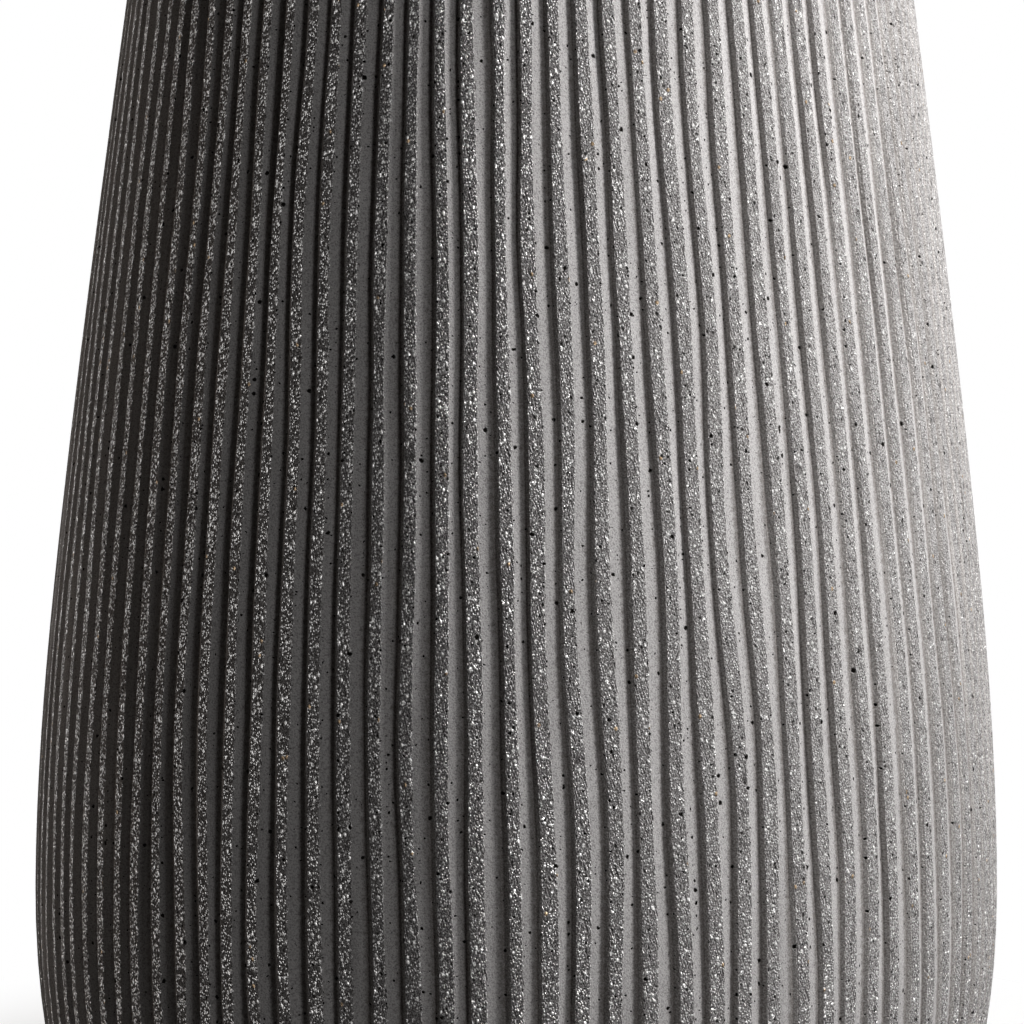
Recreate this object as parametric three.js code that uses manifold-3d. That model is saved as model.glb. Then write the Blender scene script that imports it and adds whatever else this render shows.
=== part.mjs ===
// A cast-concrete vase with fine upright flutes, its lift-out water liner and its four rubber feet.
// Millimetres, +Z up. The origin is on the floor, under the vase's axis.

import * as THREE from 'three';
import { mergeVertices } from 'three/addons/utils/BufferGeometryUtils.js';
import Module from 'manifold-3d';

// Casting: its outline is measured to the ridge tops
const HEIGHT = 480; // floor to rim
const BELLY_RADIUS = 120; // at the widest place
const BELLY_HEIGHT = 68; // floor to the widest place
const FOOT_RADIUS = 102; // edge of the underside
const TAPER_ANGLE = 7.63; // degrees that the outline leans in, well above the belly
const TAPER_EASE = 75; // height over which the belly eases into the taper
const WALL = 12; // ridge tops to the inside face
const FLOOR = 16; // underside to the inside floor
const INNER_FILLET = 14; // inside floor to inside wall

// Flutes
const FLUTE_COUNT = 112;
const FLUTE_DEPTH = 0.95;
const RIDGE_SHARE = 0.38; // ridge top, as a share of one pitch
const FLANK_SHARE = 0.34; // gentle side of the groove, on the right of the ridge
const FACE_SHARE = 0.2; // steep side of the groove, up to the next ridge
const FLUTE_LEAN = 6.7; // degrees that a flute turns about the axis between floor and rim

// Mouth: a rebate inside the rim, with a ledge that carries the liner
const RIM_WALL = 9; // ridge tops to the rebate
const RIM_CHAMFER = 1.5;
const LEDGE_DROP = 18; // rim down to the ledge
const LEDGE_WIDTH = 5;
const LEDGE_THICKNESS = 16;
const CORBEL_HEIGHT = 20; // slope under the ledge, back out to the wall

// Water liner: a drafted tub that hangs by its flange
const LINER_DEPTH = 250; // below the flange
const LINER_WALL = 2;
const LINER_FLOOR = 2.5;
const LINER_FILLET = 8; // outside, at the tub's foot
const LINER_DRAFT = 1.2; // degrees
const FLANGE_THICKNESS = 2.5;
const BEAD_HEIGHT = 5; // grip bead, above the flange
const BEAD_WIDTH = 3.2;
const BEAD_CHAMFER = 0.8;
const FLANGE_CLEARANCE = 1; // flange to rebate
const THROAT_CLEARANCE = 1.2; // tub to ledge
const SEAT_GAP = 0.3; // flange to ledge

// Rubber feet: discs glued into shallow recesses
const PAD_COUNT = 4;
const PAD_RADIUS = 13;
const PAD_PROUD = 2.5; // rubber below the casting
const PAD_CHAMFER = 0.6;
const PAD_INSET = 28; // edge of the underside to a pad's centre
const RECESS_DEPTH = 1.5;
const RECESS_CLEARANCE = 0.3;
const GLUE_GAP = 0.3;

// Facets
const ROLL_BANDS = 4; // underside to belly
const TAPER_BANDS = 5; // belly to rim
const TAPER_CROWDING = 1.6; // power that crowds the taper's bands towards the belly
const CAVITY_SIDES = 48;
const LINER_SIDES = 48;
const PAD_SIDES = 24;
const FILLET_STEPS = 4;
const CUT_MARGIN = 5; // how far a cutting shape runs past the face that it opens

// Places that follow from the sizes above
const UNDERSIDE = PAD_PROUD;
const INSIDE_FLOOR = UNDERSIDE + FLOOR;
const LEDGE = HEIGHT - LEDGE_DROP;
const REBATE_RADIUS = ridgeRadius(HEIGHT) - RIM_WALL;
const THROAT_RADIUS = REBATE_RADIUS - LEDGE_WIDTH;
const PAD_CIRCLE = FOOT_RADIUS - PAD_INSET;

const wasm = await Module();
wasm.setup();

// Radius to the ridge tops at a height: a quarter ellipse rolls from the underside out to the belly,
// and a hyperbola eases from the belly into the straight taper.
function ridgeRadius(z) {
  const rise = z - BELLY_HEIGHT;
  if (rise >= 0) {
    const slope = Math.tan(THREE.MathUtils.degToRad(TAPER_ANGLE));
    return BELLY_RADIUS - slope * (Math.hypot(rise, TAPER_EASE) - TAPER_EASE);
  }
  const drop = Math.min(1, -rise / (BELLY_HEIGHT - UNDERSIDE));
  return FOOT_RADIUS + (BELLY_RADIUS - FOOT_RADIUS) * Math.sqrt(1 - drop * drop);
}

// Heights of the outline's rings: even angles round the roll, then bands that widen up the taper
function ringHeights() {
  const heights = [];
  for (let i = 0; i < ROLL_BANDS; i++) {
    const angle = (i / ROLL_BANDS) * (Math.PI / 2);
    heights.push(BELLY_HEIGHT - (BELLY_HEIGHT - UNDERSIDE) * Math.cos(angle));
  }
  for (let i = 0; i <= TAPER_BANDS; i++) {
    heights.push(BELLY_HEIGHT + (HEIGHT - BELLY_HEIGHT) * (i / TAPER_BANDS) ** TAPER_CROWDING);
  }
  return heights;
}

function point(radius, z) {
  return new THREE.Vector2(radius, z);
}

// Quarter circle from a level floor at height z into an upright wall at a radius
function floorFillet(wallRadius, z, radius) {
  const points = [];
  for (let i = 0; i <= FILLET_STEPS; i++) {
    const angle = (i / FILLET_STEPS - 1) * (Math.PI / 2);
    points.push(point(wallRadius - radius * (1 - Math.cos(angle)), z + radius * (1 + Math.sin(angle))));
  }
  return points;
}

// One vertex for each place, without the triangles that vanish on the axis of a turned shape
function weld(geometry) {
  geometry.deleteAttribute('normal');
  geometry.deleteAttribute('uv');
  const welded = mergeVertices(geometry);
  const corners = welded.index.array;
  const kept = [];
  for (let i = 0; i < corners.length; i += 3) {
    const [a, b, c] = corners.slice(i, i + 3);
    if (a !== b && b !== c && c !== a) {
      kept.push(a, b, c);
    }
  }
  welded.setIndex(kept);
  return welded;
}

// Solid of revolution about +Z, from a profile of radius and height that starts and ends on the axis
function turned(profile, sides) {
  return weld(new THREE.LatheGeometry(profile, sides).rotateX(Math.PI / 2));
}

function toSolid(geometry) {
  return new wasm.Manifold(new wasm.Mesh({
    numProp: 3,
    vertProperties: new Float32Array(geometry.attributes.position.array),
    triVerts: new Uint32Array(geometry.index.array),
  }));
}

function toGeometry(solid) {
  const mesh = solid.getMesh();
  const geometry = new THREE.BufferGeometry();
  geometry.setAttribute('position', new THREE.BufferAttribute(new Float32Array(mesh.vertProperties), 3));
  geometry.setIndex(new THREE.BufferAttribute(new Uint32Array(mesh.triVerts), 1));
  return geometry;
}

function finish(name, geometry, color, roughness) {
  geometry.computeVertexNormals();
  const mesh = new THREE.Mesh(geometry, new THREE.MeshStandardMaterial({ color, roughness, metalness: 0 }));
  mesh.name = name;
  return mesh;
}

// Places of the pads round the underside
function padPlaces() {
  const places = [];
  for (let i = 0; i < PAD_COUNT; i++) {
    const angle = ((i + 0.5) / PAD_COUNT) * 2 * Math.PI;
    places.push(new THREE.Vector3(PAD_CIRCLE * Math.cos(angle), PAD_CIRCLE * Math.sin(angle), 0));
  }
  return places;
}

// The casting before it is hollowed: rings of ridges and grooves, closed by a fan at each end.
// Each pitch has four columns, the two edges of its ridge top and the two edges of its narrow groove floor.
function flutedBlank() {
  const columns = [
    { share: 0, depth: 0 },
    { share: RIDGE_SHARE, depth: 0 },
    { share: RIDGE_SHARE + FLANK_SHARE, depth: FLUTE_DEPTH },
    { share: 1 - FACE_SHARE, depth: FLUTE_DEPTH },
  ];
  const heights = ringHeights();
  const around = FLUTE_COUNT * columns.length;
  const positions = [];
  for (const z of heights) {
    const lean = THREE.MathUtils.degToRad(FLUTE_LEAN) * (z / HEIGHT);
    for (let flute = 0; flute < FLUTE_COUNT; flute++) {
      for (const { share, depth } of columns) {
        const angle = ((flute + share) / FLUTE_COUNT) * 2 * Math.PI - lean;
        const radius = ridgeRadius(z) - depth;
        positions.push(radius * Math.cos(angle), radius * Math.sin(angle), z);
      }
    }
  }
  const bottomCentre = heights.length * around;
  const topCentre = bottomCentre + 1;
  positions.push(0, 0, UNDERSIDE, 0, 0, HEIGHT);

  const corners = [];
  const topRing = (heights.length - 1) * around;
  for (let column = 0; column < around; column++) {
    const next = (column + 1) % around;
    for (let ring = 0; ring < topRing; ring += around) {
      corners.push(ring + column, ring + next, ring + around + next);
      corners.push(ring + column, ring + around + next, ring + around + column);
    }
    corners.push(next, column, bottomCentre);
    corners.push(topRing + column, topRing + next, topCentre);
  }
  const geometry = new THREE.BufferGeometry();
  geometry.setAttribute('position', new THREE.Float32BufferAttribute(positions, 3));
  geometry.setIndex(corners);
  return geometry;
}

// The hollow of the casting: floor, wall, corbel, throat, ledge and rebate, out through the rim
function cavityProfile() {
  const inside = (z) => ridgeRadius(z) - WALL;
  const filletTop = INSIDE_FLOOR + INNER_FILLET;
  const corbelTop = LEDGE - LEDGE_THICKNESS;
  const corbelFoot = corbelTop - CORBEL_HEIGHT;
  const wallHeights = ringHeights().filter((z) => z > filletTop && z < corbelFoot);
  return [
    point(0, INSIDE_FLOOR),
    ...floorFillet(inside(filletTop), INSIDE_FLOOR, INNER_FILLET),
    ...wallHeights.map((z) => point(inside(z), z)),
    point(inside(corbelFoot), corbelFoot),
    point(THROAT_RADIUS, corbelTop),
    point(THROAT_RADIUS, LEDGE),
    point(REBATE_RADIUS, LEDGE),
    point(REBATE_RADIUS, HEIGHT - RIM_CHAMFER),
    point(REBATE_RADIUS + RIM_CHAMFER, HEIGHT),
    point(REBATE_RADIUS + RIM_CHAMFER, HEIGHT + CUT_MARGIN),
    point(0, HEIGHT + CUT_MARGIN),
  ];
}

function recessProfile() {
  const radius = PAD_RADIUS + RECESS_CLEARANCE;
  return [
    point(0, UNDERSIDE - CUT_MARGIN),
    point(radius, UNDERSIDE - CUT_MARGIN),
    point(radius, UNDERSIDE + RECESS_DEPTH),
    point(0, UNDERSIDE + RECESS_DEPTH),
  ];
}

function flutedBody() {
  let casting = toSolid(flutedBlank()).subtract(toSolid(turned(cavityProfile(), CAVITY_SIDES)));
  for (const place of padPlaces()) {
    const recess = turned(recessProfile(), PAD_SIDES).translate(place.x, place.y, place.z);
    casting = casting.subtract(toSolid(recess));
  }
  return finish('fluted_body', toGeometry(casting), 0x8f8b88, 0.9);
}

// The liner in section: up the outside of the tub, round the flange and the grip bead, down the inside
function linerProfile() {
  const seat = LEDGE + SEAT_GAP;
  const base = seat - LINER_DEPTH;
  const innerFloor = base + LINER_FLOOR;
  const innerFillet = LINER_FILLET - LINER_WALL;
  const flangeTop = seat + FLANGE_THICKNESS;
  const flangeRadius = REBATE_RADIUS - FLANGE_CLEARANCE;
  const beadTop = flangeTop + BEAD_HEIGHT;
  const draft = Math.tan(THREE.MathUtils.degToRad(LINER_DRAFT));
  const outside = (z) => THROAT_RADIUS - THROAT_CLEARANCE - (seat - z) * draft;
  const inside = (z) => outside(z) - LINER_WALL;
  const beadRadius = inside(beadTop) + BEAD_WIDTH;
  return [
    point(0, base),
    ...floorFillet(outside(base + LINER_FILLET), base, LINER_FILLET),
    point(outside(seat), seat),
    point(flangeRadius, seat),
    point(flangeRadius, flangeTop),
    point(beadRadius, flangeTop),
    point(beadRadius, beadTop - BEAD_CHAMFER),
    point(beadRadius - BEAD_CHAMFER, beadTop),
    point(inside(beadTop), beadTop),
    ...floorFillet(inside(innerFloor + innerFillet), innerFloor, innerFillet).reverse(),
    point(0, innerFloor),
  ];
}

function waterLiner() {
  return finish('water_liner', turned(linerProfile(), LINER_SIDES), 0x1d1e20, 0.5);
}

function padProfile() {
  const top = UNDERSIDE + RECESS_DEPTH - GLUE_GAP;
  return [
    point(0, 0),
    point(PAD_RADIUS - PAD_CHAMFER, 0),
    point(PAD_RADIUS, PAD_CHAMFER),
    point(PAD_RADIUS, top),
    point(0, top),
  ];
}

function rubberFeet() {
  return padPlaces().map((place, i) => {
    const foot = finish(`rubber_foot_${i + 1}`, turned(padProfile(), PAD_SIDES), 0x17181a, 0.8);
    foot.position.copy(place);
    return foot;
  });
}

const vase = new THREE.Group();
vase.add(flutedBody(), waterLiner(), ...rubberFeet());

export default vase;
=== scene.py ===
"""Looks of a fluted cast-concrete vase, its liner and its rubber feet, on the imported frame."""
import math

import bpy
import numpy as np
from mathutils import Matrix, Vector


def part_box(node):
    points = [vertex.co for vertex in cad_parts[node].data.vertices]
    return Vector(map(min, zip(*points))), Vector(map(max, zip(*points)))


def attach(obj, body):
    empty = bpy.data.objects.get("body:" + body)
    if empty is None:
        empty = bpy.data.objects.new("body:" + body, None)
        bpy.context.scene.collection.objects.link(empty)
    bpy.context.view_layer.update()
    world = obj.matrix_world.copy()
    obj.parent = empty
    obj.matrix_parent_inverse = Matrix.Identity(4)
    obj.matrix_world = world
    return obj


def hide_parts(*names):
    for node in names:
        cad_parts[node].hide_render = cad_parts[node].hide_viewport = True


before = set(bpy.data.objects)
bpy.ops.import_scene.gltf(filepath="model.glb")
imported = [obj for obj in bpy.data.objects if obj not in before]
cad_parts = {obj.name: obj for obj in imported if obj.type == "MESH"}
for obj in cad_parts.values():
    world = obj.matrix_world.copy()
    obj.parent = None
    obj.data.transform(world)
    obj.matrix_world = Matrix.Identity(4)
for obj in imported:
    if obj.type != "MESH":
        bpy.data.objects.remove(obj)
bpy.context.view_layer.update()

# Shapes are worked out in millimetres and become metres when they go into a mesh
MM = 0.001
SMOOTH_ANGLE = 35.0  # degrees, the steepest bend that is shaded as a curve

# Casting, read off the frame where the frame shows it
CASTING_LOW, CASTING_HIGH = (np.array(corner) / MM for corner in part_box("fluted_body"))
UNDERSIDE = CASTING_LOW[2]
RIM = CASTING_HIGH[2]
BELLY_RADIUS = CASTING_HIGH[0]
BELLY_HEIGHT = 68.0
FOOT_RADIUS = 102.0
TAPER_ANGLE = math.radians(7.63)
TAPER_EASE = 75.0
WALL = 12.0
FLOOR = 16.0
INNER_FILLET = 14.0
RIM_WALL = 9.0
RIM_CHAMFER = 1.5
RIM_ROUNDING = 1.0
LEDGE_DROP = 18.0
LEDGE_WIDTH = 5.0
LEDGE_THICKNESS = 16.0
CORBEL_HEIGHT = 20.0

# Flutes
FLUTES = 112
FLUTE_LEAN = math.radians(6.7)  # turn of a rib round the axis between the floor and the rim
FLUTE_DEPTH = 0.92
RIDGE_SHARE = 0.415  # of the pitch
RIDGE_CROWN = 0.03
RIDGE_LEAN = 0.2  # drop of a ridge from its right edge to its left one
GROOVE_LOW_POINT = 0.77  # across the groove, from the gentle flank to the steep face
GROOVE_ROUNDING = 0.25  # at the low point, as a share of each side
TORN_FROM = 0.8  # share of the gentle flank that keeps its skin
TORN_ARRIS = 0.5  # how torn the left edge of a ridge is

# Unevenness of hand-worked ribs: jitter and wander in pitches, the others in shares of the mean
SEED = 11
RIDGE_JITTER = 0.03
RIDGE_WANDER = 0.05
WIDTH_SPREAD = 0.09
DEPTH_SPREAD = 0.12
HALF_RIDGE_LIMITS = (0.1, 0.28)  # of half a ridge, in pitches

# Its waves: the most periods round the vase, and the most in a metre of height
WAVES = 40
WANDER_WAVES = (30, 14.0)
WIDTH_WAVES = (50, 30.0)
DEPTH_WAVES = (50, 12.0)
GRINDING_WAVES = (50, 14.0)

# Shares of the waves, and of one draw for each rib
WIDTH_BLEND = (0.8, 0.6)
GRINDING_BLEND = (0.75, 0.65)

# Columns of points across one pitch: shares of the ridge's half width, then of the groove's width
RIDGE_COLUMNS = np.array([-1.0, -0.5, 0.5])
GROOVE_COLUMNS = np.array([0.0, 0.35, 0.53, 0.64, 0.72, 0.77, 0.793, 0.821, 0.86, 0.924])
ROLL_RINGS = 12
TAPER_RINGS = 46
RIM_RINGS = 5
WALL_RINGS = 14
INNER_FILLET_STEPS = 6
CASTING_SMOOTH_ANGLE = 18.5

# What the concrete is told of each point: how far it lies inside the ridge's edge (negative in the
# groove), how torn it is, how deep it lies in the groove as a share, and how far its rib was ground
POINT_LAYERS = ("ridge_mm", "torn_face", "groove_depth", "grinding")
CAST_SKIN = -5.0  # ridge_mm well away from any ridge
WORKED = 2.0  # ridge_mm well inside one
RIB_MAP = "rib_mm"
RIB_STRIDE = 20.0  # between the ribs' strips on the map

# Underside, with a recess for each foot
UNDERSIDE_MARGIN = 8.0
UNDERSIDE_RING = FOOT_RADIUS - UNDERSIDE_MARGIN
SPOKE_STEPS = 10
RECESS_DEPTH = 1.5
RECESS_CLEARANCE = 0.3

# Water liner
LINER_LOW, LINER_HIGH = (np.array(corner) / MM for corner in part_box("water_liner"))
LINER_WALL = 2.0
LINER_FLOOR = 2.5
LINER_FILLET = 8.0
LINER_DRAFT = math.radians(1.2)
FLANGE_THICKNESS = 2.5
BEAD_HEIGHT = 5.0
BEAD_WIDTH = 3.2
ROOT_FILLET = 0.8
THROAT_CLEARANCE = 1.2
LINER_SIDES = 128
FILLET_STEPS = 8
ROOT_STEPS = 4
LIP_STEPS = 10
BEAD_STEPS = 12

# Rubber feet
FOOT_NODES = [node for node in sorted(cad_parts) if node.startswith("rubber_foot")]
PAD_ROUNDING = 0.6
PAD_STEPS = 5
PAD_SIDES = 64
TREAD_RADII = (4.2, 8.6)
TREAD_WIDTH = 1.6
TREAD_DEPTH = 0.4

# Concrete: sizes of its patterns
RAGGED_SIZE = 1.1
BROKEN_SIZE = 0.32
SAND_SIZE = 0.52
GRIT_SIZE = 1.1
FURROW_SIZE = 0.34
PATCH_SIZE = 5.0
CLOUD_SIZE = 26.0
SKIN_SAND_SIZE = 0.36
HOLE_BEND_SIZE = 0.7
HOLE_BEND = 0.45
HOLE_KINDS = ((2.4, 0.24), (1.1, 0.27))  # spacing, and the widest radius as a share of it
HOLE_RARITY = 12.0  # the higher, the fewer holes are wide
HOLE_CORE = 0.6  # share of a hole's radius that is fully dark

# Concrete: how its patterns lie and how often they come
RASP_SLANT = math.radians(-16.0)
SAND_DRAW = 0.85  # the less, the longer the grains are along the stroke
FURROW_DRAW = 0.13  # the same for the scratches
RAGGED_REACH = 1.2  # how far noise moves the edge of the open ridge
GRINDING_REACH = 0.08  # how far one spread of grinding moves it
TORN_RAGGEDNESS = 0.9
# how ragged the painted shade at the bottom of the groove is
GROOVE_SHADE_RAGGEDNESS = 0.5
SAND_CROWDING = 0.9  # how much the grains gather where the ridge is ragged
GRIT_SHARE = 0.24  # of the cells
PIT_SHARE = 0.06
TAN_SHARE = 0.03
SCRATCH_SHADE_STRENGTH = 0.6
GLINT = 0.6

# Concrete: heights of its relief
BROKEN_RELIEF = 0.1
SKIN_RELIEF = 0.09
SAND_RELIEF = 0.34
GRIT_RELIEF = 0.46
PIT_RELIEF = -0.3
SCRATCH_RELIEF = -0.18
HOLE_RELIEF = -0.4
CHIP_RELIEF = -0.2

# Concrete: colours, and pairs of them with everything between
PASTE_COLOURS = ("#6A6665", "#BEBBBA")
SAND_COLOURS = ("#DEDBDA", "#FAF8F6")
GRIT_COLOURS = ("#F4F2F0", "#C9AE8E")
SKIN_COLOURS = ("#B0ADAC", "#C2BFBE")
TORN_COLOURS = ("#A09B98", "#D2CECC")
# painted shade in the pits that grains have left
PIT_SHADE_COLOUR = "#383533"
# painted shade in the scratches
SCRATCH_SHADE_COLOUR = "#5C5857"
SPECK_COLOUR = "#6C6868"
# painted brownish shade for the bottom of the grooves
GROOVE_SHADE_COLOUR = "#57504B"
# painted shade inside the air holes
HOLE_SHADE_COLOUR = "#14110F"

# Plastic and rubber: sizes and heights of their patterns
SPARK_SIZE = 0.5
SPARK_RELIEF = 0.05
RUBBED_SIZE = 18.0
BLOOM_SIZE = 6.0
RUBBER_PIT_SIZE = 0.4
RUBBER_RELIEF = 0.06

# Camera, as the photograph has it
IMAGE_SIDE = 1024
FOCAL_PIXELS = 1863.0
CAMERA_DISTANCE = 480.0
CAMERA_HEIGHT = 159.3
CAMERA_ASIDE = -1.48
CAMERA_ROLL = math.radians(0.3)
SENSOR = 36.0

# Floor and room
FLOOR_HALF_SIDE = 6000.0
FLOOR_FADE = (130.0, 230.0)  # radii between which the floor and the shadow turn to white
FLOOR_GLOW = 0.36
AMBIENT_TINT = (1.0, 0.85, 0.73, 1.0)
AMBIENT_LEVEL = 0.012
WHITE = (1.0, 1.0, 1.0, 1.0)


def ridge_radius(z):
    """Radius to the ridge tops: a quarter ellipse from the underside to the belly, then a hyperbola
    that eases into a straight taper."""
    rise = np.maximum(z - BELLY_HEIGHT, 0.0)
    taper = BELLY_RADIUS - math.tan(TAPER_ANGLE) * (np.hypot(rise, TAPER_EASE) - TAPER_EASE)
    drop = np.clip((BELLY_HEIGHT - z) / (BELLY_HEIGHT - UNDERSIDE), 0.0, 1.0)
    roll = FOOT_RADIUS + (BELLY_RADIUS - FOOT_RADIUS) * np.sqrt(1.0 - drop**2)
    return np.where(z >= BELLY_HEIGHT, taper, roll)


REBATE_RADIUS = float(ridge_radius(np.array(RIM))) - RIM_WALL
THROAT_RADIUS = REBATE_RADIUS - LEDGE_WIDTH


# Meshes


def mesh_piece(name, points, faces, material, smooth_angle=SMOOTH_ANGLE):
    """One mesh object at the origin, from points in millimetres and arrays of faces, each array
    with one count of corners."""
    mesh = bpy.data.meshes.new(name)
    corners = np.concatenate([group.ravel() for group in faces])
    counts = np.concatenate([np.full(len(group), group.shape[1]) for group in faces])
    mesh.vertices.add(len(points))
    mesh.vertices.foreach_set("co", (points * MM).astype(np.float32).ravel())
    mesh.loops.add(len(corners))
    mesh.loops.foreach_set("vertex_index", corners.astype(np.int32))
    mesh.polygons.add(len(counts))
    mesh.polygons.foreach_set("loop_start", (np.cumsum(counts) - counts).astype(np.int32))
    mesh.polygons.foreach_set("use_smooth", np.ones(len(counts), bool))
    mesh.update(calc_edges=True)
    mesh.set_sharp_from_angle(angle=math.radians(smooth_angle))
    mesh.materials.append(material)
    piece = bpy.data.objects.new(name, mesh)
    bpy.context.scene.collection.objects.link(piece)
    return piece


def loft(rows):
    """Quads between closed rows of point numbers. Rows that climb while they run anticlockwise face
    outwards."""
    low, high = rows[:-1], rows[1:]
    return np.stack([low, np.roll(low, -1, 1), np.roll(high, -1, 1), high], -1).reshape(-1, 4)


def cap(row, centre):
    """Triangles from a closed row to its centre point. They face up if the row runs
    anticlockwise."""
    return np.stack([row, np.roll(row, -1), np.full(len(row), centre)], -1)


def stitch(fine, coarse):
    """Triangles between a fine row and a coarse one inside it, with a whole number of fine points
    to each coarse one. They face up."""
    share = len(fine) // len(coarse)
    spokes = np.stack([fine, np.roll(fine, -1), np.repeat(coarse, share)], -1)
    gaps = np.stack([np.roll(fine[::share], -1), np.roll(coarse, -1), coarse], -1)
    return np.concatenate([spokes, gaps])


def carried_round(profile, sides):
    """Points of a solid of revolution: each profile point, a radius and a height, goes round the
    axis."""
    angle = 2.0 * np.pi * np.arange(sides) / sides
    radius, z = np.asarray(profile, float).T
    return np.stack([
        radius[:, None] * np.cos(angle),
        radius[:, None] * np.sin(angle),
        np.broadcast_to(z[:, None], (len(z), sides)),
    ], -1).reshape(-1, 3)


def turned_piece(name, profile, sides, material, place=(0.0, 0.0)):
    """A closed solid of revolution. The profile starts and ends on the axis and runs up its outside
    first."""
    (_, bottom), *rings, (_, top) = profile
    ends = [[0.0, 0.0, bottom], [0.0, 0.0, top]]
    points = np.concatenate([carried_round(rings, sides), ends])
    rows = np.arange(len(rings) * sides).reshape(-1, sides)
    caps = np.concatenate([cap(rows[0], rows.size)[:, ::-1], cap(rows[-1], rows.size + 1)])
    return mesh_piece(name, points + [*place, 0.0], [loft(rows), caps], material)


def arc(centre, radius, start, end, steps):
    """Points of a circular arc in section, from start to end in degrees."""
    angle = np.radians(np.linspace(start, end, steps + 1))
    across = centre[0] + radius * np.cos(angle)
    upward = centre[1] + radius * np.sin(angle)
    return np.stack([across, upward], -1).tolist()


# The casting


def wave_field(rng, across, upward, heights):
    """Smooth unevenness over height and flute number: a sum of cosine waves, each with a whole
    number of periods round the vase (up to across) and up to upward periods per metre, scaled to a
    spread of about 1."""
    around = rng.integers(-across, across + 1, WAVES)
    climb = rng.uniform(-upward, upward, WAVES) * MM
    phase = rng.uniform(0.0, 2.0 * np.pi, WAVES)
    flute = np.arange(FLUTES) / FLUTES
    turns = around[:, None, None] * flute + climb[:, None, None] * heights[:, None]
    return np.cos(2.0 * np.pi * turns + phase[:, None, None]).sum(0) / math.sqrt(WAVES / 2.0)


def rib_field(rng, waves, blend, heights):
    """Unevenness that also changes from rib to rib: waves, and one draw for each rib, in their
    shares."""
    smooth, drawn = blend
    return smooth * wave_field(rng, *waves, heights) + drawn * rng.standard_normal(FLUTES)


def casting_heights():
    """Ring heights and how far each ring is drawn in: even angles round the roll, even heights up
    the taper, then a quarter circle over the rim's outer edge."""
    angle = np.linspace(0.0, np.pi / 2.0, ROLL_RINGS, endpoint=False)
    roll = BELLY_HEIGHT - (BELLY_HEIGHT - UNDERSIDE) * np.cos(angle)
    taper = np.linspace(BELLY_HEIGHT, RIM - RIM_ROUNDING, TAPER_RINGS)
    turn = np.linspace(0.0, np.pi / 2.0, RIM_RINGS + 1)[1:]
    edge = RIM - RIM_ROUNDING * (1.0 - np.sin(turn))
    heights = np.concatenate([roll, taper, edge])
    drawn_in = np.zeros(len(heights))
    drawn_in[-RIM_RINGS:] = RIM_ROUNDING * (1.0 - np.cos(turn))
    return heights, drawn_in


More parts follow.
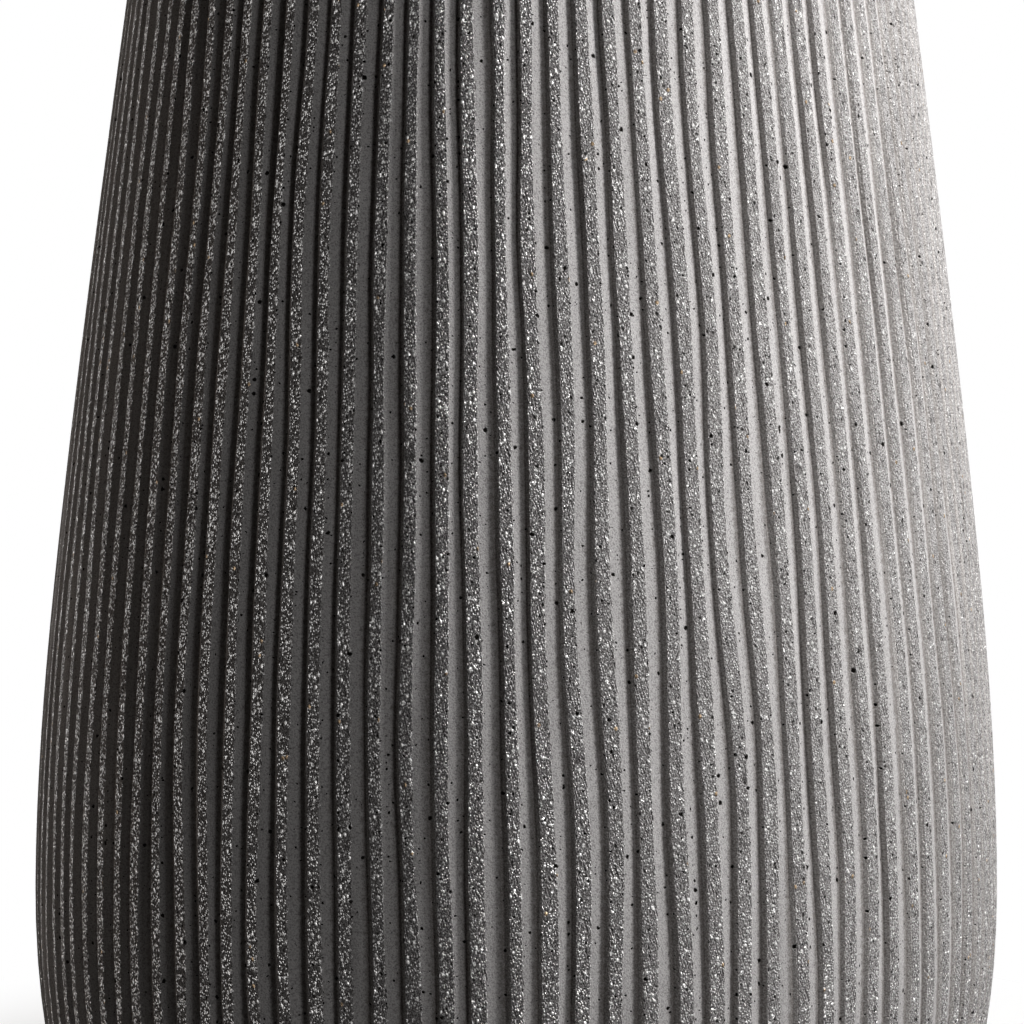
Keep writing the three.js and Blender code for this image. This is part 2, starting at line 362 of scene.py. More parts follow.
def fluted_surface(rng):
    """The fluted outside, ring by ring. Across one pitch the surface is a hardly crowned ridge that
    leans to the left, then a groove that falls by a gentle flank to its low point and climbs by a
    steep face, each a hyperbola that is round at the low point and straight away from it. Returns
    the points, their values in the order of POINT_LAYERS, and a flat map of each rib in
    millimetres."""
    heights, drawn_in = casting_heights()
    pitch = 2.0 * np.pi / FLUTES
    outline = ridge_radius(heights) - drawn_in
    radius = outline[:, None, None]
    wander = RIDGE_WANDER * wave_field(rng, *WANDER_WAVES, heights)
    jitter = RIDGE_JITTER * rng.standard_normal(FLUTES)
    lean = (FLUTE_LEAN * heights / RIM)[:, None]
    centre = (np.arange(FLUTES) + RIDGE_SHARE / 2.0 + jitter + wander) * pitch - lean
    spread = WIDTH_SPREAD * rib_field(rng, WIDTH_WAVES, WIDTH_BLEND, heights)
    half = np.clip(RIDGE_SHARE / 2.0 * (1.0 + spread), *HALF_RIDGE_LIMITS) * pitch
    depth = FLUTE_DEPTH * (1.0 + DEPTH_SPREAD * wave_field(rng, *DEPTH_WAVES, heights))
    ground = rib_field(rng, GRINDING_WAVES, GRINDING_BLEND, heights)

    next_start = np.roll(centre - half, -1, axis=1)
    next_start[:, -1] += 2.0 * np.pi
    centre, half, depth, ground, next_start = (
        values[:, :, None] for values in (centre, half, depth, ground, next_start))

    across = RIDGE_COLUMNS[None, None, :]
    ridge_angle = centre + half * across
    ridge_drop = RIDGE_CROWN * across**2 + RIDGE_LEAN * (1.0 - across) / 2.0
    ridge_drop = np.broadcast_to(ridge_drop, ridge_angle.shape)
    ridge_edge = (1.0 - np.abs(across)) * half * radius
    chipped = TORN_ARRIS * np.clip(-1.0 - 2.0 * across, 0.0, 1.0)

    start = centre + half
    width = next_start - start
    place = GROOVE_COLUMNS[None, None, :]
    flank = place < GROOVE_LOW_POINT
    side = np.where(flank, GROOVE_LOW_POINT, 1.0 - GROOVE_LOW_POINT)
    climb = np.hypot((place - GROOVE_LOW_POINT) / side, GROOVE_ROUNDING) - GROOVE_ROUNDING
    deep = 1.0 - climb / (math.hypot(1.0, GROOVE_ROUNDING) - GROOVE_ROUNDING)
    groove_depth = depth * deep + np.where(flank, 0.0, RIDGE_LEAN) * (1.0 - deep)
    groove_edge = -np.minimum(place, 1.0 - place) * width * radius
    face = np.clip((place / GROOVE_LOW_POINT - TORN_FROM) / (1.0 - TORN_FROM), 0.0, 1.0)

    angle = np.concatenate([ridge_angle, start + width * place], 2)
    reach = radius - np.concatenate([ridge_drop, RIDGE_CROWN + groove_depth], 2)
    z = np.broadcast_to(heights[:, None, None], angle.shape)
    points = np.stack([reach * np.cos(angle), reach * np.sin(angle), z], -1)
    edge = np.concatenate([ridge_edge, groove_edge], 2)
    torn = np.concatenate([chipped, face], 2)
    sunk = np.concatenate([np.zeros_like(across), deep], 2)
    values = [np.broadcast_to(layer, angle.shape) for layer in (edge, torn, sunk, ground)]

    # Each rib is its own strip, from the left edge of its ridge to the left edge of the next one
    aside = (np.concatenate([angle, next_start], 2) - centre) * radius
    aside += RIB_STRIDE * np.arange(FLUTES)[None, :, None]
    run = np.concatenate([[0.0], np.cumsum(np.hypot(np.diff(outline), np.diff(heights)))])
    strip = np.stack([aside, np.broadcast_to(run[:, None, None], aside.shape)], -1)
    return points, values, strip


def inside_profile():
    """Section of the casting's inside, from the rim's inner chamfer down to the floor."""
    floor = UNDERSIDE + FLOOR
    ledge = RIM - LEDGE_DROP
    corbel_top = ledge - LEDGE_THICKNESS
    corbel_foot = corbel_top - CORBEL_HEIGHT
    wall = np.linspace(corbel_foot, floor + INNER_FILLET, WALL_RINGS)
    wall_radius = ridge_radius(wall) - WALL
    corner = (wall_radius[-1] - INNER_FILLET, floor + INNER_FILLET)
    return [
        (REBATE_RADIUS + RIM_CHAMFER, RIM),
        (REBATE_RADIUS, RIM - RIM_CHAMFER),
        (REBATE_RADIUS, ledge),
        (THROAT_RADIUS, ledge),
        (THROAT_RADIUS, corbel_top),
        *zip(wall_radius, wall),
        *arc(corner, INNER_FILLET, 0.0, -90.0, INNER_FILLET_STEPS)[1:],
        (corner[0] / 2.0, floor),
    ]


def pad_place(node):
    """Radius, and the middle of a foot in plan, from its box in the frame."""
    low, high = (np.array(corner)[:2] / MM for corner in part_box(node))
    return (high[0] - low[0]) / 2.0, (low + high) / 2.0


def recessed_underside(ring, first):
    """Points and faces of the flat underside inside a ring of point numbers. Two spokes bound a
    sector for each foot, and the sector's edge is drawn in to the circle of the foot's recess, then
    up to the recess's floor."""
    sectors = len(FOOT_NODES)
    columns = len(ring) // sectors
    reach = UNDERSIDE_RING * (1.0 - np.arange(1, SPOKE_STEPS) / SPOKE_STEPS)
    turn = 2.0 * np.pi * np.arange(sectors) / sectors
    spokes = np.stack([np.outer(np.cos(turn), reach), np.outer(np.sin(turn), reach)], -1)
    spoke_numbers = first + np.arange(sectors * len(reach)).reshape(sectors, -1)
    centre = first + spoke_numbers.size
    flat = np.concatenate([spokes.reshape(-1, 2), np.zeros((1, 2))])
    angle = 2.0 * np.pi * np.arange(len(ring)) / len(ring)
    plan = np.concatenate([UNDERSIDE_RING * np.stack([np.cos(angle), np.sin(angle)], -1), flat])
    points = [np.insert(flat, 2, UNDERSIDE, axis=1)]
    quads, triangles = [], []
    roof = UNDERSIDE + RECESS_DEPTH
    free = centre + 1
    places = [pad_place(node) for node in FOOT_NODES]
    for sector in range(sectors):
        after = (sector + 1) % sectors
        border = np.concatenate([
            ring[sector * columns:(sector + 1) * columns],
            ring[[after * columns]],
            spoke_numbers[after],
            [centre],
            spoke_numbers[sector][::-1],
        ])
        count = len(border)
        on_ring = border < ring[0] + len(ring)
        local = np.where(on_ring, border - ring[0], border - first + len(ring))
        middle = plan[local].mean(0)
        radius, pad = min(places, key=lambda spot: np.hypot(*(spot[1] - middle)))
        away = plan[local] - pad
        circle = pad + (radius + RECESS_CLEARANCE) * away / np.hypot(*away.T)[:, None]
        points += [
            np.insert(circle, 2, UNDERSIDE, axis=1),
            np.insert(circle, 2, roof, axis=1),
            np.array([[*pad, roof]]),
        ]
        rows = np.stack([border, free + np.arange(count), free + count + np.arange(count)])
        quads.append(loft(rows)[:, ::-1])
        triangles.append(cap(rows[-1], free + 2 * count)[:, ::-1])
        free += 2 * count + 1
    return np.concatenate(points), np.concatenate(quads), np.concatenate(triangles)


def casting(material):
    """The whole casting as one closed surface: flutes, rim, inside and underside. The inside has
    one column to each flute, stitched to the flutes across the flat of the rim and of the
    underside."""
    outside, values, strip = fluted_surface(np.random.default_rng(SEED))
    profile = inside_profile()
    outer_rows = np.arange(outside.size // 3).reshape(len(outside), -1)
    inner_rows = outer_rows.size + np.arange(len(profile) * FLUTES).reshape(-1, FLUTES)
    floor_centre = inner_rows[-1, -1] + 1
    under_ring = floor_centre + 1 + np.arange(FLUTES)
    under_points, under_quads, under_triangles = recessed_underside(under_ring, under_ring[-1] + 1)
    points = np.concatenate([
        outside.reshape(-1, 3),
        carried_round(profile, FLUTES),
        [[0.0, 0.0, UNDERSIDE + FLOOR]],
        carried_round([(UNDERSIDE_RING, UNDERSIDE)], FLUTES),
        under_points,
    ])
    fluted = loft(outer_rows)
    quads = np.concatenate([fluted, loft(inner_rows), under_quads])
    triangles = np.concatenate([
        stitch(outer_rows[-1], inner_rows[0]),
        cap(inner_rows[-1], floor_centre),
        stitch(outer_rows[0], under_ring)[:, ::-1],
        under_triangles,
    ])
    piece = mesh_piece("fluted_casting", points, [quads, triangles], material, CASTING_SMOOTH_ANGLE)

    # Only the ridges and the top of the rim were worked; the rest keeps its cast skin
    layers = np.zeros((len(POINT_LAYERS), len(points)))
    layers[0] = CAST_SKIN
    layers[:, outer_rows.ravel()] = [layer.ravel() for layer in values]
    layers[0, outer_rows[-1]] = WORKED
    layers[0, inner_rows[0]] = WORKED
    for name, layer in zip(POINT_LAYERS, layers):
        attribute = piece.data.attributes.new(name, "FLOAT", "POINT")
        attribute.data.foreach_set("value", layer.astype(np.float32))

    # Flat map for the grain: rib strips outside, elsewhere the arc round the axis against height
    # less radius
    low, high = strip[:-1], strip[1:]
    corners = [low[:, :, :-1], low[:, :, 1:], high[:, :, 1:], high[:, :, :-1]]
    maps = [np.stack(corners, 3).reshape(-1, 2)]
    turn = np.arctan2(points[:, 1], points[:, 0])
    radius = np.hypot(points[:, 0], points[:, 1])
    for faces in (quads[len(fluted):], triangles):
        first = turn[faces[:, :1]]
        unwound = first + (turn[faces] - first + np.pi) % (2.0 * np.pi) - np.pi
        rise = points[faces, 2] - radius[faces]
        maps.append(np.stack([unwound * radius[faces], rise], -1).reshape(-1, 2))
    rib_map = piece.data.uv_layers.new(name=RIB_MAP)
    rib_map.data.foreach_set("uv", np.concatenate(maps).astype(np.float32).ravel())
    return piece


# The water liner and the rubber feet


def water_liner(material):
    """The liner in section: up the outside of the tub, round the flange and the rolled grip bead,
    down the inside."""
    base, top = LINER_LOW[2], LINER_HIGH[2]
    flange_top = top - BEAD_HEIGHT
    seat = flange_top - FLANGE_THICKNESS
    flange_radius = LINER_HIGH[0]
    draft = math.tan(LINER_DRAFT)
    inner_floor = base + LINER_FLOOR
    inner_fillet = LINER_FILLET - LINER_WALL
    tub_top = THROAT_RADIUS - THROAT_CLEARANCE
    foot_radius = tub_top - (seat - base - LINER_FILLET) * draft
    inner_foot = tub_top - LINER_WALL - (seat - inner_floor - inner_fillet) * draft
    mouth = tub_top - LINER_WALL + (top - seat) * draft
    roll = BEAD_WIDTH / 2.0
    lip = FLANGE_THICKNESS / 2.0
    foot_corner = (foot_radius - LINER_FILLET, base + LINER_FILLET)
    flange_root = (tub_top + ROOT_FILLET, seat - ROOT_FILLET)
    bead_root = (mouth + BEAD_WIDTH + ROOT_FILLET, flange_top + ROOT_FILLET)
    inner_corner = (inner_foot - inner_fillet, inner_floor + inner_fillet)
    profile = [
        (0.0, base),
        (foot_radius / 2.0, base),
        *arc(foot_corner, LINER_FILLET, -90.0, 0.0, FILLET_STEPS),
        *arc(flange_root, ROOT_FILLET, 180.0, 90.0, ROOT_STEPS),
        *arc((flange_radius - lip, seat + lip), lip, -90.0, 90.0, LIP_STEPS),
        *arc(bead_root, ROOT_FILLET, 270.0, 180.0, ROOT_STEPS),
        *arc((mouth + roll, top - roll), roll, 0.0, 180.0, BEAD_STEPS),
        *arc(inner_corner, inner_fillet, 0.0, -90.0, FILLET_STEPS),
        (inner_foot / 2.0, inner_floor),
        (0.0, inner_floor),
    ]
    return turned_piece("liner_tub", profile, LINER_SIDES, material)


def rubber_foot(name, node, material):
    """A moulded disc with rounded edges and two tread grooves in its underside."""
    radius, place = pad_place(node)
    low, high = (corner[2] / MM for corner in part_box(node))
    round_centre = radius - PAD_ROUNDING
    profile = [(0.0, low)]
    for tread in TREAD_RADII:
        profile += [
            (tread - TREAD_WIDTH / 2.0, low),
            (tread - TREAD_WIDTH / 4.0, low + TREAD_DEPTH),
            (tread + TREAD_WIDTH / 4.0, low + TREAD_DEPTH),
            (tread + TREAD_WIDTH / 2.0, low),
        ]
    profile += arc((round_centre, low + PAD_ROUNDING), PAD_ROUNDING, -90.0, 0.0, PAD_STEPS)
    profile += arc((round_centre, high - PAD_ROUNDING), PAD_ROUNDING, 0.0, 90.0, PAD_STEPS)
    profile.append((0.0, high))
    return turned_piece(name, profile, PAD_SIDES, material, place)


# Materials


def linear(code):
    """Linear colour of an sRGB hex value."""
    values = np.array([int(code[i:i + 2], 16) for i in (1, 3, 5)]) / 255.0
    curved = np.where(values <= 0.04045, values / 12.92, ((values + 0.055) / 1.055) ** 2.4)
    return (*curved.tolist(), 1.0)


def add(tree, kind, inputs=None, **settings):
    """Adds one node with its settings, and sets or links its inputs. A node given as an input is
    linked by its first live output, and an input's name means the live socket of that name."""
    made = tree.nodes.new(kind)
    for name, value in settings.items():
        setattr(made, name, value)
    for key, value in (inputs or {}).items():
        if isinstance(key, str):
            socket = next(s for s in made.inputs if s.enabled and s.name == key)
        else:
            socket = made.inputs[key]
        if isinstance(value, bpy.types.Node):
            value = next(s for s in value.outputs if s.enabled)
        if isinstance(value, bpy.types.NodeSocket):
            tree.links.new(value, socket)
        else:
            socket.default_value = value
    return made


def new_material(name):
    """An empty node material. Its relief is lit as it is drawn, with no softening where the light
    grazes."""
    material = bpy.data.materials.new(name)
    material.cycles.use_bump_map_correction = False
    material.use_nodes = True
    material.node_tree.nodes.clear()
    return material, material.node_tree


def cast_concrete():
    """Grey concrete. The gentle flanks keep the cement skin of the mould, matt and pale with air
    holes, and painted brownish shade at the bottom of the groove. The steep faces were torn, and
    are rough and as pale.
    The ridges were rasped open while green: broken sand stands out of them, which sparkles in
    raking light and turns to an even pale speckle where the light is full."""
    material, tree = new_material("cast_concrete_rasped_ridges")
    here = add(tree, "ShaderNodeTexCoord").outputs["Object"]
    place = add(tree, "ShaderNodeVectorMath", {0: here, "Scale": 1.0 / MM}, operation="SCALE")
    rib = add(tree, "ShaderNodeUVMap", uv_map=RIB_MAP)
    ridge, face, deep, grinding = (
        add(tree, "ShaderNodeAttribute", attribute_name=layer).outputs["Fac"]
        for layer in POINT_LAYERS)

    # Where the ridge is open: its distance inside the edge, made ragged, less where it was hardly
    # worked
    ragged = add(tree, "ShaderNodeTexNoise",
                 {"Vector": rib, "Scale": 1.0 / RAGGED_SIZE, "Detail": 2.0, "Roughness": 0.6},
                 noise_dimensions="2D")
    reach = add(tree, "ShaderNodeMath", {0: ragged, 1: RAGGED_REACH, 2: ridge},
                operation="MULTIPLY_ADD")
    reach = add(tree, "ShaderNodeMath", {0: grinding, 1: GRINDING_REACH, 2: reach},
                operation="MULTIPLY_ADD")
    worked = add(tree, "ShaderNodeMapRange", {"Value": reach, "From Min": 0.45, "From Max": 0.65},
                 interpolation_type="SMOOTHSTEP")

    # The torn face, which also bites into the arris over it
    bite = add(tree, "ShaderNodeMath", {0: ragged, 1: TORN_RAGGEDNESS, 2: face},
               operation="MULTIPLY_ADD")
    torn = add(tree, "ShaderNodeMapRange", {"Value": bite, "From Min": 0.85, "From Max": 1.02})
    whole = add(tree, "ShaderNodeMath", {0: 1.0, 1: torn}, operation="SUBTRACT")
    opened = add(tree, "ShaderNodeMath", {0: worked, 1: whole}, operation="MULTIPLY")
    chip = add(tree, "ShaderNodeMath", {0: worked, 1: torn}, operation="MULTIPLY")

    # Broken sand, a little drawn out along the strokes of the rasp, which run down to the right
    stroke = add(tree, "ShaderNodeMapping", {
        "Vector": rib,
        "Rotation": (0.0, 0.0, RASP_SLANT),
        "Scale": (1.0, SAND_DRAW, 1.0),
    })
    broken = add(tree, "ShaderNodeTexNoise",
                 {"Vector": stroke, "Scale": 1.0 / BROKEN_SIZE, "Detail": 1.0, "Roughness": 0.6},
                 noise_dimensions="2D")
    sand = add(tree, "ShaderNodeTexVoronoi", {"Vector": stroke, "Scale": 1.0 / SAND_SIZE},
               voronoi_dimensions="2D")
    sand_kind = add(tree, "ShaderNodeSeparateColor", {0: sand.outputs["Color"]})
    crowd = add(tree, "ShaderNodeMath", {0: ragged, 1: SAND_CROWDING, 2: sand_kind.outputs[0]},
                operation="MULTIPLY_ADD")
    proud = add(tree, "ShaderNodeMapRange", {"Value": crowd, "From Min": 0.8, "From Max": 0.88})
    away = sand.outputs["Distance"]
    body = add(tree, "ShaderNodeMapRange", {"Value": away, "From Min": 0.42, "From Max": 0.33})
    dome = add(tree, "ShaderNodeMapRange", {"Value": away, "From Min": 0.45, "From Max": 0.05})
    grain = add(tree, "ShaderNodeMath", {0: body, 1: proud}, operation="MULTIPLY")
    grain_height = add(tree, "ShaderNodeMath", {0: dome, 1: proud}, operation="MULTIPLY")

    # Coarser grains among them, a few of them tan, and pits that such grains have left
    grit = add(tree, "ShaderNodeTexVoronoi", {"Vector": stroke, "Scale": 1.0 / GRIT_SIZE},
               voronoi_dimensions="2D")
    grit_kind = add(tree, "ShaderNodeSeparateColor", {0: grit.outputs["Color"]})
    grit_here = add(tree, "ShaderNodeMath", {0: grit_kind.outputs[0], 1: 1.0 - GRIT_SHARE},
                    operation="GREATER_THAN")
    away = grit.outputs["Distance"]
    body = add(tree, "ShaderNodeMapRange", {"Value": away, "From Min": 0.36, "From Max": 0.29})
    dome = add(tree, "ShaderNodeMapRange", {"Value": away, "From Min": 0.38, "From Max": 0.06})
    coarse = add(tree, "ShaderNodeMath", {0: body, 1: grit_here}, operation="MULTIPLY")
    coarse_height = add(tree, "ShaderNodeMath", {0: dome, 1: grit_here}, operation="MULTIPLY")
    pit_here = add(tree, "ShaderNodeMath", {0: grit_kind.outputs[0], 1: PIT_SHARE},
                   operation="LESS_THAN")
    pit = add(tree, "ShaderNodeMath", {0: dome, 1: pit_here}, operation="MULTIPLY")

    # Scratches, in patches where the rasp dragged; they are painted dark as the shade in them
    dragged = add(tree, "ShaderNodeMapping", {"Vector": stroke, "Scale": (1.0, FURROW_DRAW, 1.0)})
    furrow = add(tree, "ShaderNodeTexNoise",
                 {"Vector": dragged, "Scale": 1.0 / FURROW_SIZE, "Detail": 1.0},
                 noise_dimensions="2D")
    furrow = add(tree, "ShaderNodeMapRange", {"Value": furrow, "From Min": 0.47, "From Max": 0.36})
    patch = add(tree, "ShaderNodeTexNoise",
                {"Vector": rib, "Scale": 1.0 / PATCH_SIZE, "Detail": 1.0}, noise_dimensions="2D")
    patch = add(tree, "ShaderNodeMapRange", {"Value": patch, "From Min": 0.45, "From Max": 0.52})
    scratch = add(tree, "ShaderNodeMath", {0: furrow, 1: patch}, operation="MULTIPLY")

    # Air holes, a little out of round, and finer pinholes between them; their insides are painted
    # dark as shade
    bent = add(tree, "ShaderNodeTexNoise",
               {"Vector": rib, "Scale": 1.0 / HOLE_BEND_SIZE, "Detail": 1.0}, noise_dimensions="2D")
    off_round = add(tree, "ShaderNodeVectorMath", {0: bent.outputs["Color"], "Scale": HOLE_BEND},
                    operation="SCALE")
    hole_place = add(tree, "ShaderNodeVectorMath", {0: rib, 1: off_round}, operation="ADD")
    holes = []
    for spacing, widest in HOLE_KINDS:
        cell = add(tree, "ShaderNodeTexVoronoi", {"Vector": hole_place, "Scale": 1.0 / spacing},
                   voronoi_dimensions="2D")
        cell_kind = add(tree, "ShaderNodeSeparateColor", {0: cell.outputs["Color"]})
        size = add(tree, "ShaderNodeMath", {0: cell_kind.outputs[0], 1: HOLE_RARITY},
                   operation="POWER")
        edge = add(tree, "ShaderNodeMath", {0: size, 1: widest}, operation="MULTIPLY")
        core = add(tree, "ShaderNodeMath", {0: edge, 1: HOLE_CORE}, operation="MULTIPLY")
        holes.append(add(tree, "ShaderNodeMapRange",
                         {"Value": cell.outputs["Distance"], "From Min": edge, "From Max": core}))
    hole = add(tree, "ShaderNodeMath", dict(enumerate(holes)), operation="MAXIMUM")

    # Colours that lie between two
    paste_share = add(tree, "ShaderNodeMapRange",
                      {"Value": broken, "From Min": 0.38, "From Max": 0.62})
    clear = add(tree, "ShaderNodeMapRange",
                {"Value": sand_kind.outputs[1], "From Min": 0.45, "From Max": 0.65})
    tan = add(tree, "ShaderNodeMath", {0: grit_kind.outputs[1], 1: 1.0 - TAN_SHARE},
              operation="GREATER_THAN")
    clouds = add(tree, "ShaderNodeTexNoise",
                 {"Vector": place, "Scale": 1.0 / CLOUD_SIZE, "Detail": 3.0})
    between = (
        (paste_share, PASTE_COLOURS),
        (clear, SAND_COLOURS),
        (tan, GRIT_COLOURS),
        (clouds, SKIN_COLOURS),
        (paste_share, TORN_COLOURS),
    )
    paste, sand_colour, grit_colour, colour, torn_colour = (
        add(tree, "ShaderNodeMix", {"Factor": share, "A": linear(one), "B": linear(other)},
            data_type="RGBA")
        for share, (one, other) in between)

    # The ridge: sand, coarser grains, pits and scratches over the paste; pits and scratches are
    # painted dark as the shade that lies in them
    # Painted shade in the scratches
    scratch_shade = add(tree, "ShaderNodeMath", {0: scratch, 1: SCRATCH_SHADE_STRENGTH}, operation="MULTIPLY")
    ridge_colour = paste
    for share, over in (
        (grain, sand_colour),
        (coarse, grit_colour),
        (pit, linear(PIT_SHADE_COLOUR)),
        (scratch_shade, linear(SCRATCH_SHADE_COLOUR)),
    ):
        ridge_colour = add(tree, "ShaderNodeMix", {"Factor": share, "A": ridge_colour, "B": over},
                           data_type="RGBA")

    # The whole: specks, the torn face and painted shade at the groove's bottom over the cloudy
    # skin, then the open ridge, and the holes painted dark as the shade inside them
    sandy = add(tree, "ShaderNodeTexNoise",
                {"Vector": place, "Scale": 1.0 / SKIN_SAND_SIZE, "Detail": 1.0, "Roughness": 0.7})
    speck = add(tree, "ShaderNodeMapRange",
                {"Value": sandy, "From Min": 0.56, "From Max": 0.28, "To Max": 0.7})
    # Painted shade: darker and browner towards the low point of the groove, where the shadow lies
    groove_shade = add(tree, "ShaderNodeMath", {0: ragged, 1: GROOVE_SHADE_RAGGEDNESS, 2: deep},
                operation="MULTIPLY_ADD")
    groove_shade = add(tree, "ShaderNodeMapRange",
                {"Value": groove_shade, "From Min": 0.95, "From Max": 1.25, "To Max": 0.6})
    for share, over in (
        (speck, linear(SPECK_COLOUR)),
        (torn, torn_colour),
        (groove_shade, linear(GROOVE_SHADE_COLOUR)),
        (opened, ridge_colour),
        (hole, linear(HOLE_SHADE_COLOUR)),
    ):
        colour = add(tree, "ShaderNodeMix", {"Factor": share, "A": colour, "B": over},
                     data_type="RGBA")

    # Relief in millimetres
    sand_relief = add(tree, "ShaderNodeMath", {0: broken, 1: BROKEN_RELIEF}, operation="MULTIPLY")
    for height, amount in (
        (grain_height, SAND_RELIEF),
        (coarse_height, GRIT_RELIEF),
        (pit, PIT_RELIEF),
        (scratch, SCRATCH_RELIEF),
    ):
        sand_relief = add(tree, "ShaderNodeMath", {0: height, 1: amount, 2: sand_relief},
                          operation="MULTIPLY_ADD")
    skin_relief = add(tree, "ShaderNodeMix", {"Factor": torn, "A": sandy, "B": broken})
    skin_relief = add(tree, "ShaderNodeMath", {0: skin_relief, 1: SKIN_RELIEF},
                      operation="MULTIPLY")
    relief = add(tree, "ShaderNodeMix", {"Factor": opened, "A": skin_relief, "B": sand_relief})
    for height, amount in ((hole, HOLE_RELIEF), (chip, CHIP_RELIEF)):
        relief = add(tree, "ShaderNodeMath", {0: height, 1: amount, 2: relief},
                     operation="MULTIPLY_ADD")
    bump = add(tree, "ShaderNodeBump", {"Height": relief, "Distance": MM, "Strength": 1.0})

    # Broken quartz faces glint with the white of the room, which a little metal in them stands for
    glassy = add(tree, "ShaderNodeMath", {0: grain, 1: coarse}, operation="MAXIMUM")
    glassy = add(tree, "ShaderNodeMath", {0: glassy, 1: opened}, operation="MULTIPLY")
    glint = add(tree, "ShaderNodeMath", {0: glassy, 1: GLINT}, operation="MULTIPLY")
    roughness = add(tree, "ShaderNodeMapRange", {"Value": glassy, "To Min": 0.9, "To Max": 0.35})

    shader = add(tree, "ShaderNodeBsdfPrincipled", {
        "Base Color": colour,
        "Metallic": glint,
        "Roughness": roughness,
        "IOR": 1.5,
        "Specular IOR Level": 0.03,
        "Normal": bump,
    })
    add(tree, "ShaderNodeOutputMaterial", {"Surface": shader})
    return material


def moulded_polypropylene():
    """Black polypropylene from a spark-eroded mould: deep grey with a fine even grain, a soft
    sheen, and faint rubbed patches. The grain is drawn about twice as coarse as the real one, so
    that it shows."""
    material, tree = new_material("moulded_black_polypropylene")
    here = add(tree, "ShaderNodeTexCoord").outputs["Object"]
    place = add(tree, "ShaderNodeVectorMath", {0: here, "Scale": 1.0 / MM}, operation="SCALE")
    spark = add(tree, "ShaderNodeTexVoronoi", {"Vector": place, "Scale": 1.0 / SPARK_SIZE},
                feature="SMOOTH_F1")
    rubbed = add(tree, "ShaderNodeTexNoise",
                 {"Vector": place, "Scale": 1.0 / RUBBED_SIZE, "Detail": 4.0, "Roughness": 0.6})
    wear = add(tree, "ShaderNodeMapRange", {"Value": rubbed, "From Min": 0.45, "From Max": 0.7})
    colour = add(tree, "ShaderNodeMix",
                 {"Factor": wear, "A": linear("#1A1B1D"), "B": linear("#26272A")}, data_type="RGBA")
    roughness = add(tree, "ShaderNodeMapRange", {"Value": wear, "To Min": 0.5, "To Max": 0.38})
    relief = add(tree, "ShaderNodeMath", {0: spark.outputs["Distance"], 1: SPARK_RELIEF},
                 operation="MULTIPLY")
    bump = add(tree, "ShaderNodeBump", {"Height": relief, "Distance": MM, "Strength": 1.0})
    shader = add(tree, "ShaderNodeBsdfPrincipled", {
        "Base Color": colour,
        "Roughness": roughness,
        "IOR": 1.49,
        "Normal": bump,
    })
    add(tree, "ShaderNodeOutputMaterial", {"Surface": shader})
    return material


def moulded_rubber():
    """Black moulded rubber: matt, with a greyish bloom in soft patches and a finely pitted face."""
    material, tree = new_material("moulded_black_rubber")
    here = add(tree, "ShaderNodeTexCoord").outputs["Object"]
    place = add(tree, "ShaderNodeVectorMath", {0: here, "Scale": 1.0 / MM}, operation="SCALE")
    patches = add(tree, "ShaderNodeTexNoise",
                  {"Vector": place, "Scale": 1.0 / BLOOM_SIZE, "Detail": 4.0})
    pits = add(tree, "ShaderNodeTexNoise",
               {"Vector": place, "Scale": 1.0 / RUBBER_PIT_SIZE, "Detail": 2.0})
    bloom = add(tree, "ShaderNodeMapRange", {"Value": patches, "From Min": 0.42, "From Max": 0.72})
    colour = add(tree, "ShaderNodeMix",
                 {"Factor": bloom, "A": linear("#141416"), "B": linear("#2C2C2D")},
                 data_type="RGBA")
    relief = add(tree, "ShaderNodeMath", {0: pits, 1: RUBBER_RELIEF}, operation="MULTIPLY")
    bump = add(tree, "ShaderNodeBump", {"Height": relief, "Distance": MM, "Strength": 1.0})
    shader = add(tree, "ShaderNodeBsdfPrincipled", {
        "Base Color": colour,
        "Roughness": 0.82,
        "IOR": 1.52,
        "Normal": bump,
    })
    add(tree, "ShaderNodeOutputMaterial", {"Surface": shader})
    return material


# Stage


def seen_directly(tree):
    """1 for rays that show the background: camera, mirror and glass rays."""
    path = add(tree, "ShaderNodeLightPath").outputs
    shown = add(tree, "ShaderNodeMath", {0: path["Is Camera Ray"], 1: path["Is Glossy Ray"]},
                operation="MAXIMUM")
    return add(tree, "ShaderNodeMath", {0: shown, 1: path["Is Transmission Ray"]},
               operation="MAXIMUM")


def white_world():
    """White to the eye, a weak warm light on the object."""
    world = bpy.data.worlds.new("studio")
    bpy.context.scene.world = world
    world.use_nodes = True
    tree = world.node_tree
    tree.nodes.clear()
    ambient = add(tree, "ShaderNodeBackground", {"Color": AMBIENT_TINT, "Strength": AMBIENT_LEVEL})
    white = add(tree, "ShaderNodeBackground", {"Color": WHITE, "Strength": 1.0})
    mixed = add(tree, "ShaderNodeMixShader", {0: seen_directly(tree), 1: ambient, 2: white})
    add(tree, "ShaderNodeOutputWorld", {"Surface": mixed})


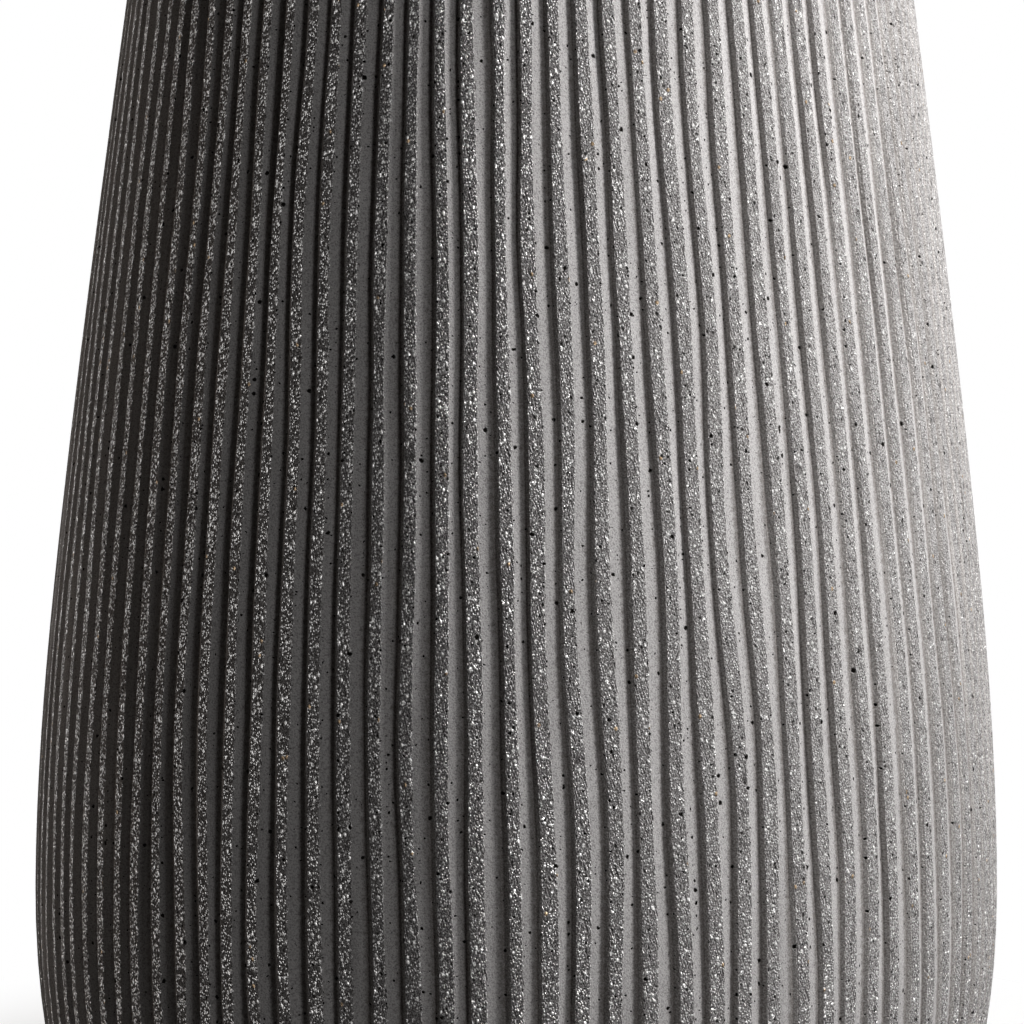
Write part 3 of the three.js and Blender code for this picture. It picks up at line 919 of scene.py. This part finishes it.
def pale_floor():
    """A floor that is pale and keeps the vase's shadow, and turns to plain white farther out. To
    the light that it throws back on the vase it is dark, so that the vase is lit by the lamps
    alone."""
    material, tree = new_material("pale_floor")
    here = add(tree, "ShaderNodeTexCoord").outputs["Object"]
    away = add(tree, "ShaderNodeVectorMath", {0: here}, operation="LENGTH").outputs["Value"]
    fade_start, fade_end = (radius * MM for radius in FLOOR_FADE)
    far = add(tree, "ShaderNodeMapRange",
              {"Value": away, "From Min": fade_start, "From Max": fade_end},
              interpolation_type="SMOOTHSTEP")
    dull = add(tree, "ShaderNodeBsdfDiffuse", {"Color": (0.08, 0.08, 0.08, 1.0)})
    matt = add(tree, "ShaderNodeBsdfDiffuse", {"Color": (0.85, 0.85, 0.85, 1.0)})
    glow = add(tree, "ShaderNodeEmission", {"Color": WHITE, "Strength": FLOOR_GLOW})
    near = add(tree, "ShaderNodeAddShader", {0: matt, 1: glow})
    white = add(tree, "ShaderNodeEmission", {"Color": WHITE, "Strength": 1.0})
    shown = add(tree, "ShaderNodeMixShader", {0: far, 1: near, 2: white})
    mixed = add(tree, "ShaderNodeMixShader", {0: seen_directly(tree), 1: dull, 2: shown})
    add(tree, "ShaderNodeOutputMaterial", {"Surface": mixed})
    side = FLOOR_HALF_SIDE
    corners = np.array([[-side, -side, 0], [side, -side, 0], [side, side, 0], [-side, side, 0]])
    mesh_piece("floor", corners, [np.array([[0, 1, 2, 3]])], material)


def hang(name, lamp, azimuth, elevation, distance, aim):
    """Hangs a lamp so that it points at the vase's axis, at the height aim. Azimuth runs from the
    camera to its right. Angles are in degrees, lengths in metres."""
    turn, rise = math.radians(azimuth), math.radians(elevation)
    level = math.cos(rise)
    toward = np.array([math.sin(turn) * level, -math.cos(turn) * level, math.sin(rise)])
    holder = bpy.data.objects.new(name, lamp)
    bpy.context.scene.collection.objects.link(holder)
    holder.location = np.array([0.0, 0.0, aim]) + toward * distance
    holder.rotation_euler = (math.pi / 2.0 - rise, 0.0, turn)


def softbox(name, azimuth, elevation, distance, width, height, level, tint=(1.0, 1.0, 1.0)):
    """An area lamp that points at half the vase's height. level is the brightness of a white card
    that faces it at the vase."""
    lamp = bpy.data.lights.new(name, "AREA")
    lamp.shape = "RECTANGLE"
    lamp.size = width
    lamp.size_y = height
    lamp.color = tint
    lamp.energy = level * math.pi**2 * distance**2
    hang(name, lamp, azimuth, elevation, distance, RIM * MM / 2.0)


def spot(name, azimuth, elevation, distance, aim, cone, bulb, level):
    """A spot that fades from the middle of its cone to the edge, with a soft bulb. level is as for
    a softbox."""
    lamp = bpy.data.lights.new(name, "SPOT")
    lamp.spot_size = math.radians(cone)
    lamp.spot_blend = 1.0
    lamp.shadow_soft_size = bulb
    lamp.energy = level * 4.0 * math.pi**2 * distance**2
    hang(name, lamp, azimuth, elevation, distance, aim)


def camera():
    """Level camera in front of the vase, at the photograph's distance and lens."""
    data = bpy.data.cameras.new("camera")
    data.sensor_width = SENSOR
    data.lens = SENSOR * FOCAL_PIXELS / IMAGE_SIDE
    holder = bpy.data.objects.new("camera", data)
    bpy.context.scene.collection.objects.link(holder)
    holder.location = np.array([CAMERA_ASIDE, -CAMERA_DISTANCE, CAMERA_HEIGHT]) * MM
    holder.rotation_euler = (math.pi / 2.0, -CAMERA_ROLL, 0.0)
    bpy.context.scene.camera = holder


def take_place(piece, node, body):
    """The piece stands for a node of the frame and moves with its body."""
    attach(piece, body)
    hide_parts(node)


camera()
take_place(casting(cast_concrete()), "fluted_body", "vessel")
take_place(water_liner(moulded_polypropylene()), "water_liner", "liner")
rubber = moulded_rubber()
for number, node in enumerate(FOOT_NODES, 1):
    take_place(rubber_foot(f"foot_disc_{number}", node, rubber), node, "vessel")

# A key that rakes over the flutes from the right, weak fills all round, and light into the mouth
white_world()
pale_floor()
spot("key", azimuth=78.0, elevation=30.0, distance=1.25, aim=0.27, cone=32.0, bulb=0.15, level=1.88)
softbox("front_fill", azimuth=47.0, elevation=12.0, distance=1.6, width=0.3, height=0.8, level=0.22)
softbox("side_fill", azimuth=100.0, elevation=12.0, distance=1.6, width=0.5, height=0.8, level=0.35)
softbox("back_fill", azimuth=-116.0, elevation=20.0, distance=1.8, width=1.0, height=1.2, level=0.2,
        tint=(1.0, 0.88, 0.78))
softbox("rear_fill", azimuth=-150.0, elevation=20.0, distance=1.8, width=0.8, height=1.2, level=0.6)
spot("mouth_light", azimuth=0.0, elevation=90.0, distance=1.0, aim=RIM * MM, cone=6.8, bulb=0.01,
     level=3.0)
bpy.context.scene.view_settings.view_transform = "Standard"
